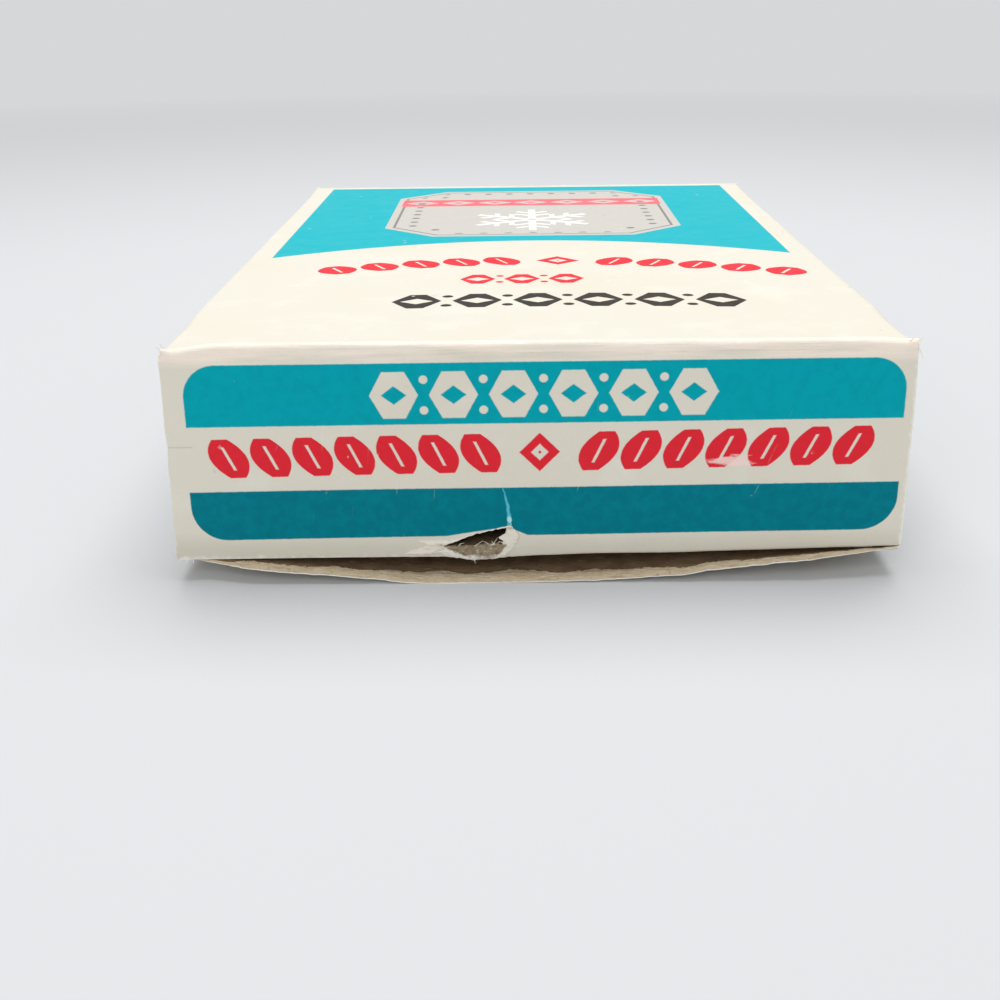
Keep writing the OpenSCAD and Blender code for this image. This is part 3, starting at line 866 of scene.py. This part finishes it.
def carton_sleeve():
    piece = merged_copy("carton_sleeve", "carton_sleeve_worn")
    cut_through(piece, 0, steps(-36, 36, 2.0))
    cut_through(piece, 1, steps(-54, 54, 6.0))
    cut_through(piece, 2, steps(5, 23, 3.0))
    at_ends = [56.0, 56.4, 56.8, 57.2, 57.6, 57.9]
    for side in (FRONT, REAR):
        def near_lip(p):
            return p.y * side > 54 and p.z < 4

        cut_through(piece, 1, [side * y for y in [54.8, 55.4] + at_ends], near_lip)
        cut_through(piece, 0, steps(-37.6, 37.6, 0.4), near_lip)

    dress_board(piece, sleeve_depth, [TOP_PRINT, SIDE_PRINT, PLAIN], GREY_LIP, lambda p: (
        0 if p.z > TOP_Z - 0.6 * CREASE_R else 1 if abs(p.x) > HALF_W - 0.4 else 2))

    def worn(p):
        x, y, z = p
        lip = ease((abs(y) - 55.2) / 3.0)
        if lip > 0 and z < FOLD_Z + 0.6:
            side = math.copysign(1, y)
            look = x if side < 0 else -x
            ply = min(1.0, max(0.0, (z - bottom_rest(x)) / BOARD))
            squeezed = between(LIP_THICK, look)
            edge = between(LIP_Z, look)
            if side > 0:
                edge = 0.5 * (edge + bottom_rest(x))
            edge += 0.05 * wander((x, side, 0), 0.7)
            z += lip * (edge + squeezed * ply - bottom_rest(x) - BOARD * ply)
            rough = 0.14 * wander((x, 0, side), 1.3) + 0.1 * wander((x, 3, side), 4.0)
            if abs(y) > 56:
                y = side * (56 + (abs(y) - 56) * (between(LIP_LEFT, look) + rough * 0.4))
            y -= side * 0.1 * ply * lip * (0.5 + wander((x, 9, side), 2.6))
        # the long creases are pressed sharper at the ends, where the panels' corners meet them
        aside, down = HALF_W - abs(x), TOP_Z - z
        if aside < CREASE_R and down < CREASE_R:
            reach = math.hypot(CREASE_R - aside, CREASE_R - down)
            if reach > CREASE_R - 0.02:
                swell = 0.4 * ease((abs(y) - 50) / 6)
                radius = CREASE_R - swell
                turn = math.atan2(CREASE_R - aside, CREASE_R - down)
                x = math.copysign(HALF_W - radius + radius * math.sin(turn), x)
                z = TOP_Z - radius + radius * math.cos(turn)
        # the walls lean out a little at the ends, and bow between them
        if abs(x) > HALF_W - 1.1:
            x += math.copysign(lean(x, z, math.copysign(1, y)) * ease((abs(y) - 20) / 36)
                               + 0.12 * wander((0, y, z), 0.06), x)
        if abs(x) > HALF_W - 2.5 and z > TOP_Z - 3:
            # towards the front the long creases are pressed in, and flare out again at the panel
            pressed = ease((-y - 40) / 13) * (1 - 0.9 * ease((-y - 53.5) / 2.6))
            x -= math.copysign((0.75 if x > 0 else 0.65) * pressed * ease((z - TOP_Z + 3) / 2.5)
                               * ease((abs(x) - HALF_W + 2.5) / 2), x)
        return x, y, crushed(x, y, z)

    reshape(piece, worn)
    smooth(piece, 30)
    place_in_frame(piece, "carton", "printed_board", "carton_sleeve")


def end_panel(side):
    """An end panel; the front one has the tear, and the folds and corners of the photograph."""
    torn = side == FRONT
    node = "front_end_panel" if torn else "rear_end_panel"
    piece = merged_copy(node, node + "_worn")
    # the coat runs on round the lower fold
    edit(piece, "EDGE", lambda p: abs(p.y - side * END_Y) < 0.02 and abs(p.z - FOLD_Z) < 0.02)
    bpy.ops.mesh.bevel(offset=FOLD_R * MM, segments=4)
    done()
    cut_through(piece, 0, [-37.6, -37.2] + steps(-36, 36, 2.0) + [37.2, 37.6])
    cut_through(piece, 2, [3.7, 4.4] + steps(5, 23, 2.0) + [24.4, 25.0])
    if torn:
        def round_tear(p):
            return -15 < p.x < 1 and p.z < 9

        cut_through(piece, 0, steps(-14, 0, 0.2), round_tear)
        cut_through(piece, 2, steps(3.25, 8.5, 0.2), round_tear)

    def depth(p):
        y, up, down = END_Y - p.y * side, TOP_Z - p.z, p.z - FOLD_Z
        if up < BOARD:
            return 1 - math.hypot(BOARD - y, BOARD - up) / BOARD
        if y < FOLD_R and down < FOLD_R:
            return (FOLD_R - math.hypot(FOLD_R - y, FOLD_R - down)) / BOARD
        return min(y, down) / BOARD

    dress_board(piece, depth, [FRONT_PRINT if torn else REAR_PRINT], GREY)
    if torn:
        # the rims of the tear show pulp; the panel's own cut edges are clean
        piece.data.materials.append(TORN)
        for face in piece.data.polygons:
            place = face.center / MM
            if face.material_index == 2 and -11 < place.x < -2 and place.z < 6.5:
                face.material_index = 3

    def worn(p):
        x, y, z = p
        # the upper corners are rounded off
        mid_x, mid_z, radius = 37.2, 25.0, 0.8
        reach = math.hypot(abs(x) - mid_x, z - mid_z)
        if abs(x) > mid_x and z > mid_z and reach > radius:
            x = math.copysign(mid_x + (abs(x) - mid_x) * radius / reach, x)
            z = mid_z + (z - mid_z) * radius / reach
        # the lower fold follows its worn line, and what lies just over it is stretched
        still = 3.7
        if z < still:
            low = fold_line(x, side) + 0.04 * wander((x, 0, side), 0.8)
            z = low + (z - FOLD_Z) / (still - FOLD_Z) * (still - low)
        x += math.copysign(lean(x, z, side) * ease((abs(x) - 30) / 8)
                           + 0.08 * wander((x, 0, z), 0.9) * ease((abs(x) - 36) / 2), x)
        if x < -36 and torn:
            x += 0.14 * math.exp(-((z - 15.1) / 0.7) ** 2)
        y += side * 0.12 * wander((x, 0, z), 0.05, side)
        if torn:
            near = math.exp(-(((x + 6.2) / 4.0) ** 2))
            below = ease((4.6 - z) / 1.2)
            rough = near * ease((7.5 - z) / 2)
            # over the slit the board is pushed in, and under it the pulp swells out
            y += 0.28 * math.exp(-(((x + 5.5) / 3.5) ** 2) - (((z - 5.9) / 1.3) ** 2))
            y -= near * below * (0.34 + 0.16 * wander((x, z, 7), 2.2))
            x += rough * (0.1 * wander((x, z, 0), 2.2) + 0.07 * wander((x, z, 4), 5.5))
            z += rough * (0.12 * wander((x, z, 9), 2.4) + 0.08 * wander((x, z, 6), 6.0))
        return x, y, crushed(x, y, z)

    reshape(piece, worn)
    if torn:
        note(piece, "torn", near_tear)
    smooth(piece, 30)
    place_in_frame(piece, "front_closure" if torn else "rear_closure", "printed_board", node)


def near_tear(p):
    """1 on the tear's rim, falling to 0 about a millimetre from it."""
    def gap(start, end):
        a, b, spot = Vector(start), Vector(end), Vector((p.x, p.z))
        along = max(0.0, min(1.0, (spot - a).dot(b - a) / (b - a).length_squared))
        return (spot - a - (b - a) * along).length

    foot, peak, low = (-9.7, 3.85), (-2.75, 5.75), (-3.1, 3.9)
    tail = 0.25 + 0.4 * ease((p.x + 13.8) / 3.5)
    neck = 0.3 + 0.45 * ease((6.0 - p.z) / 1.6)
    rim = min(gap(foot, peak) / 0.35, gap(peak, low) / neck, gap((-13.4, 3.0), foot) / tail,
              gap((-9.6, 3.5), (-6.6, 2.3)) / 0.7, gap((-4.4, 2.3), low) / 0.6)
    return max(0.0, 1.4 - rim)


def flap(node, body, outward):
    """A tuck or dust flap: coated outside, grey inside, a little warped."""
    piece = merged_copy(node, node + "_worn")
    low, high = box_mm(node)
    across = 1 if abs(outward.z) > 0.5 else 2
    cut_through(piece, 0, steps(low.x, high.x, 2.0)[1:-1])
    cut_through(piece, across, steps(low[across], high[across], 2.0)[1:-1])
    outer = max(outward.dot(low), outward.dot(high))
    dress_board(piece, lambda p: (outer - outward.dot(p)) / BOARD, [PLAIN], GREY)
    reshape(piece, lambda p: p + outward * (0.08 * wander(p, 0.09, 5)))
    smooth(piece, 30)
    place_in_frame(piece, body, "printed_board", node)


def crease_skin(name, across, profile, run, finish, ears=0.0):
    """The board's outer skin over a crease.

    profile lists points of the crease in section, and run gives the place along it for u
    from 0 to 1.
    """
    def shape(u, v):
        spot = v * (len(profile) - 1)
        leg = min(int(spot), len(profile) - 2)
        a, b = (p + (q - p) * (spot - leg) for p, q in zip(profile[leg], profile[leg + 1]))
        x, y, z = run(u, a, b)
        arch = math.sin(math.pi * v)
        outer = 0.03 * wander((x, y, z), 1.1, 4) * arch
        curl = ears * (ease((0.012 - u) / 0.012) + ease((u - 0.988) / 0.012)) * arch
        z = crushed(x, y, z + outer + curl)
        return x, y + math.copysign(outer + curl, y), z

    piece = skin(name, across, 3 * len(profile), shape, 0.1, finish, 60)
    note(piece, "torn", lambda p: 0.0)
    note(piece, "ply", lambda p: 0.0)
    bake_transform(piece)


def creases(end, side):
    """The skins over one end's four creases."""
    y, inner = side * END_Y, side * PANEL_END_Y
    arc = [(math.sin(math.radians(a)), math.cos(math.radians(a))) for a in (0, 22.5, 45, 67.5, 90)]
    over = [(inner - side * 0.3, TOP_Z)] + [
        (y - side * BOARD * (1 - s), TOP_Z - BOARD * (1 - c)) for s, c in arc] + [(y, TOP_Z - 1.0)]
    start, length, ears = (-37.75, 75.9, 0.3) if side == FRONT else (-37.7, 75.4, 0.1)
    crease_skin(f"{end}_top_crease", 150, over,
                lambda u, a, b: (start + length * u, a, b),
                FRONT_PRINT if side == FRONT else REAR_PRINT, ears)

    def along_tuck(u, a, b):
        x = -35.5 + 71 * u
        return x, a, (fold_line(x, side) + 0.03) * (1 - b) + (FOLD_Z - 0.03) * b

    under = [(y - side * back, share)
             for back, share in ((0.42, 0.0), (0.6, 0.25), (0.8, 0.7), (1.0, 1.0))]
    crease_skin(f"{end}_tuck_crease", 100, under, along_tuck,
                PLAIN)
    for hand, x in (("left", -HALF_W), ("right", HALF_W)):
        way = math.copysign(1, x)
        low, high = box_mm(f"{end}_dust_flap_{hand}")
        round_it = [(x - way * inward, inner - side * back) for inward, back in (
            (0, 0.9), (0, 0.5), (0, 0.2), (0.06, 0.06), (0.2, 0), (0.6, 0))]

        def upright(u, a, b, x=x, low=low, high=high):
            height = low.z + 0.3 + (high.z - low.z - 0.6) * u
            return a + math.copysign(lean(x, height, side) - 0.02, x), b, height

        crease_skin(f"{end}_dust_crease_{hand}", 20, round_it,
                    upright, PLAIN)


def tear_debris():
    """Flakes of white coat beside the tear, and loose fibres across it."""
    def left_flake(u, v):
        width = ease(u / 0.75 + 0.08) * (1 - 0.85 * ease((u - 0.6) / 0.4))
        width *= 0.95 * (1 + 0.6 * wander((u * 4, v, 0), 2.0))
        x = -13.9 + 4.0 * u
        y = -57.07 - 0.3 * u * u - 0.06 * wander((x, v, 0), 3.0)
        return x, y, 2.98 + 0.8 * u + (v - 0.5) * width

    def right_flake(u, v):
        side = 0.5 + 0.5 * math.sin(math.pi * min(1.0, v * 1.1))
        x = -2.75 - (0.35 + 0.85 * math.exp(-((v - 0.45) / 0.18) ** 2)) * (1 - u) + 0.9 * u * side
        return x + 0.1 * wander((v * 5, 0, u), 2.0), -57.1 - 0.22 * (1 - u), 5.75 - 2.0 * v

    for name, shape in (("torn_flake_left", left_flake), ("torn_flake_right", right_flake)):
        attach(skin(name, 22, 14, shape, 0.09, FLAKE, 40), "front_closure")
    fray("tear_fibres", "front_closure", (0, 0.05 - END_Y, 0), [
        [(-6.7, 0, 3.6), (-6.2, -0.05, 4.0), (-5.7, -0.1, 4.35)],
        [(-4.9, 0, 3.5), (-5.1, -0.05, 4.1), (-5.7, -0.1, 4.4)],
        [(-4.8, 0, 3.6), (-4.4, -0.1, 4.2), (-4.1, -0.1, 4.7)],
        [(-4.1, 0, 3.6), (-4.5, -0.1, 4.0), (-4.7, -0.1, 4.4)],
        [(-3.5, 0, 4.1), (-3.9, -0.1, 4.3), (-4.1, -0.15, 4.1)],
        [(-8.3, 0, 3.7), (-8.0, -0.1, 4.1), (-7.6, -0.1, 4.15)],
        [(-9.3, 0, 3.5), (-9.9, -0.2, 3.8), (-10.8, -0.2, 3.75)],
        [(-6.5, -0.3, 2.4), (-6.55, -0.4, 2.15), (-6.4, -0.4, 1.95)],
        [(-2.9, 0, 5.7), (-2.6, -0.1, 6.1), (-2.7, -0.15, 6.6)]], 0.045)


def corner_fray():
    """Fibres that stand out where the corners and the lip are worn through."""
    fray("corner_fibres_right", "front_closure", (HALF_W, -END_Y, TOP_Z), [
        [(-0.5, 0, -0.5), (0.1, -0.1, -0.05), (0.75, -0.1, 0.3)],
        [(-0.4, 0, -0.4), (0.2, -0.05, 0), (0.7, -0.05, 0.1)],
        [(-0.2, 0, -0.3), (0.3, -0.1, -0.1), (0.6, -0.1, -0.15)],
        [(-0.4, 0.1, -0.3), (0.1, 0, -0.2), (0.5, 0, -0.1)],
        [(-0.3, 0, -0.7), (0.1, -0.1, -0.6), (0.4, -0.1, -0.4)],
        [(0, 0, -0.6), (0.45, -0.1, -1.2), (0.75, -0.1, -2.0)],
        [(-0.3, 0, -0.6), (0.2, 0, -1.0), (0.5, 0, -1.3)],
        [(-0.6, 0, -0.2), (-0.4, -0.1, 0.1), (-0.1, -0.1, 0.3)],
        [(-0.9, 0, -0.2), (-0.6, -0.2, 0), (-0.1, -0.3, 0)]], 0.05)
    fray("corner_fibres_left", "front_closure", (-HALF_W, -END_Y, 0), [
        [(0.4, 0, TOP_Z - 0.6), (0.1, -0.1, TOP_Z - 0.2), (-0.1, -0.1, TOP_Z + 0.1)],
        [(0.7, 0, TOP_Z - 0.2), (0.4, -0.1, TOP_Z + 0.1), (0.3, -0.1, TOP_Z + 0.3)],
        [(0.2, 0, 3.1), (-0.2, 0, 3.4), (-0.6, -0.1, 3.7)],
        [(0, 0, 2.9), (-0.4, 0, 2.9), (-0.6, -0.1, 3.2)],
        [(0.3, 0, 2.7), (0, -0.1, 2.3), (-0.2, -0.2, 2.1)],
        [(0.9, 0, 2.6), (0.8, -0.1, 2.2), (0.5, -0.2, 2.0)],
        [(1.4, 0, 2.6), (1.5, -0.1, 2.2), (1.3, -0.2, 2.1)]], 0.05)
    hairs = []
    for i in range(26):
        place = -28 + 2.25 * i + 1.5 * wander((i, 0, 0), 3.7)
        height = between(LIP_Z, place) + BOARD * 0.5
        turn = 2.5 * wander((i, 5, 0), 3.1)
        hairs.append([(place, -0.9, height - 0.1), (place + 0.3 * turn, -1.2, height - 0.02),
                      (place + 0.9 * turn, -1.3 - 0.2 * abs(turn), height + 0.03)])
    fray("lip_fibres", "carton", (0, -END_Y, 0), hairs, 0.03)


carton_sleeve()
for end, side in (("front", FRONT), ("rear", REAR)):
    end_panel(side)
    flap(f"{end}_tuck_flap", f"{end}_tuck", Vector((0, 0, -1)))
    for hand in ("left", "right"):
        flap(f"{end}_dust_flap_{hand}", f"{end}_dust_{hand}", Vector((0, side, 0)))
    creases(end, side)
tear_debris()
corner_fray()


# =============================================================== warmer ====

def sheet_part(node, body, finish, slot, rim=0.0):
    """A part of sheet metal or paper: its own shape, shaded smooth between its sharp edges.

    rim is the width of the burnished rounding on its cut edges.
    """
    piece = merged_copy(node, node + "_plated")
    if rim:
        finish_with(piece, "BEVEL", width=rim * MM, segments=2, limit_method="ANGLE",
                    angle_limit=math.radians(40), use_clamp_overlap=True)
    dress(piece, finish)
    smooth(piece, 32)
    if rim:
        finish_with(piece, "WEIGHTED_NORMAL", keep_sharp=True)
    place_in_frame(piece, body, slot, node)


sheet_part("tank_shell", "warmer", CHROME, "chromed_brass", 0.12)
sheet_part("tank_top", "warmer", NICKEL, "nickel_plate", 0.1)
sheet_part("mouth_collar", "warmer", NICKEL, "nickel_plate", 0.15)
sheet_part("burner_base", "burner", CHROME, "chromed_brass", 0.12)
sheet_part("burner_gauze", "burner", STEEL, "steel_gauze", 0.05)
sheet_part("burner_guard", "burner", CHROME, "chromed_brass", 0.12)
sheet_part("vented_cap", "cap", CHROME, "chromed_brass", 0.12)


def soft_copy(node, body, finish, slot, grain, depth):
    """A fibre filling: its own shape with a woolly, uneven surface."""
    piece = merged_copy(node, node + "_fibres")
    finish_with(piece, "REMESH", mode="VOXEL", voxel_size=0.5 * MM)
    reshape(piece, lambda p: p + Vector([wander(p, grain, seed) for seed in (1, 5, 9)]) * depth)
    dress(piece, finish)
    smooth(piece, 80)
    place_in_frame(piece, body, slot, node)


soft_copy("wick_felt", "warmer", FELT, "felt", 1.3, 0.09)
soft_copy("catalyst_mat", "burner", CATALYST, "catalyst", 1.3, 0.09)
soft_copy("cotton_wadding", "warmer", COTTON, "cotton", 0.6, 0.15)


def pouch():
    """Flannel pouch, folded once: two layers at its rim, a hem, and soft dents on top."""
    high = POUCH_HIGH
    middle = (POUCH_LOW.z + high.z) / 2
    piece = merged_copy("flannel_pouch", "flannel_pouch_sewn")
    finish_with(piece, "REMESH", mode="VOXEL", voxel_size=0.45 * MM)

    def sewn(p):
        rim = min(high.x - abs(p.x), high.y - abs(p.y))
        # the fold between the layers draws the rim in at half height
        groove = 0.9 * math.exp(-((p.z - middle) / 0.55) ** 2) * ease((2.2 - rim) / 1.6)
        # a stitched hem sits lower than the cloth on either side of it
        hem = 0.45 * math.exp(-((rim - HEM) / 0.5) ** 2)
        puff = 0.3 * wander((p.x, p.y, 0), 0.11, 3) - 0.12 * ease((3 - rim) / 3)
        upper = ease((p.z - middle) / 1.5)
        # its front end is thinner underneath, where it slides out over the carton's lip
        thin = ease((middle - p.z) / 1.5) * ease((34 - high.y - p.y) / 6)
        lifted = thin * (0.35 + 0.75 * ease((abs(p.x) - 14) / 12))
        at_side = high.x - abs(p.x) < high.y - abs(p.y)
        x = p.x - math.copysign(groove * at_side, p.x)
        y = p.y - math.copysign(groove * (not at_side), p.y)
        nap = 0.06 * wander(p, 1.4, 7)
        return x + nap, y + nap, p.z - upper * (hem + 0.32 - puff) + nap * upper + lifted

    reshape(piece, sewn)
    dress(piece, FLANNEL)
    smooth(piece, 80)
    place_in_frame(piece, "pouch", "flannel", "flannel_pouch")


pouch()
sheet_part("instruction_leaflet", "leaflet", PAPER, "leaflet_paper")


# ================================================ camera, light, floor ====

def camera():
    """Camera at the photograph's place, found from the carton's eight visible corners."""
    place = Vector((-1.82, -186.82, 58.79)) * MM
    pitch, yaw, roll = (math.radians(a) for a in (20.988, -0.859, -0.767))
    flat = math.cos(pitch)
    ahead = Vector((math.sin(yaw) * flat, math.cos(yaw) * flat, -math.sin(pitch)))
    level = Vector((math.cos(yaw), -math.sin(yaw), 0))
    upright = level.cross(ahead)
    right = level * math.cos(roll) + upright * math.sin(roll)
    up = upright * math.cos(roll) - level * math.sin(roll)
    data = bpy.data.cameras.new("camera")
    data.lens = 47.88
    data.sensor_width = 36
    data.clip_start = 0.01
    seen = bpy.data.objects.new("camera", data)
    bpy.context.collection.objects.link(seen)
    facing = Matrix((right, up, -ahead)).transposed()
    seen.matrix_world = Matrix.Translation(place) @ facing.to_4x4()
    bpy.context.scene.camera = seen


def lamp(name, place, aim, size, power):
    """A square lamp; place, aim and size are in metres, power in watts."""
    data = bpy.data.lights.new(name, "AREA")
    data.size = size
    data.energy = power
    lit = bpy.data.objects.new(name, data)
    bpy.context.collection.objects.link(lit)
    lit.location = place
    lit.rotation_euler = (Vector(aim) - Vector(place)).to_track_quat("-Z", "Y").to_euler()


def seen_directly(tree):
    """1 for what the camera or a mirror looks at, 0 where light is gathered."""
    path = add_node(tree, "LightPath").outputs
    return Field(tree, path["Is Camera Ray"]).high(Field(tree, path["Is Glossy Ray"]))


def show_mix(tree, output, share, first, second):
    """Sends two shaders, mixed by a share, to a tree's output."""
    mix = add_node(tree, "MixShader", {0: share.socket, 1: first.outputs[0], 2: second.outputs[0]})
    tree.links.new(mix.outputs[0], tree.nodes[output].inputs["Surface"])


def studio():
    """Pale floor that keeps the shadow, and fades into an even pale distance."""
    bpy.ops.mesh.primitive_plane_add(size=6, location=(0, 0, 0))
    floor = settle(bpy.context.object)
    floor.name = "floor"
    pale = Finish("pale_floor", (206, 207, 208), roughness=0.9, Specular_IOR_Level=0.1)
    fade_start, fade_length = 170, 500
    far = (pale.x.with_length(pale.y) - fade_start) * (1 / fade_length)
    glow = add_node(pale.tree, "Emission", {"Color": linear(DISTANCE)})
    share = far.clamp() * seen_directly(pale.tree)
    show_mix(pale.tree, "Material Output", share, pale.shader, glow)
    dress(floor, pale.material)

    world = bpy.data.worlds.new("studio")
    world.use_nodes = True
    tree = world.node_tree
    light = tree.nodes["Background"]
    light.inputs["Color"].default_value = (0.93, 0.95, 1.0, 1)
    light.inputs["Strength"].default_value = 0.42
    backdrop = add_node(tree, "Background", {"Color": linear(DISTANCE)})
    show_mix(tree, "World Output", seen_directly(tree), light, backdrop)
    bpy.context.scene.world = world
    lamp("overhead", (0.02, 0.12, 0.6), (0, 0, 0), 0.6, 4.0)
    lamp("front_fill", (-0.2, -0.75, 0.42), (0, -0.05, 0.01), 0.5, 2.5)


camera()
studio()
bpy.context.scene.view_settings.view_transform = "Standard"
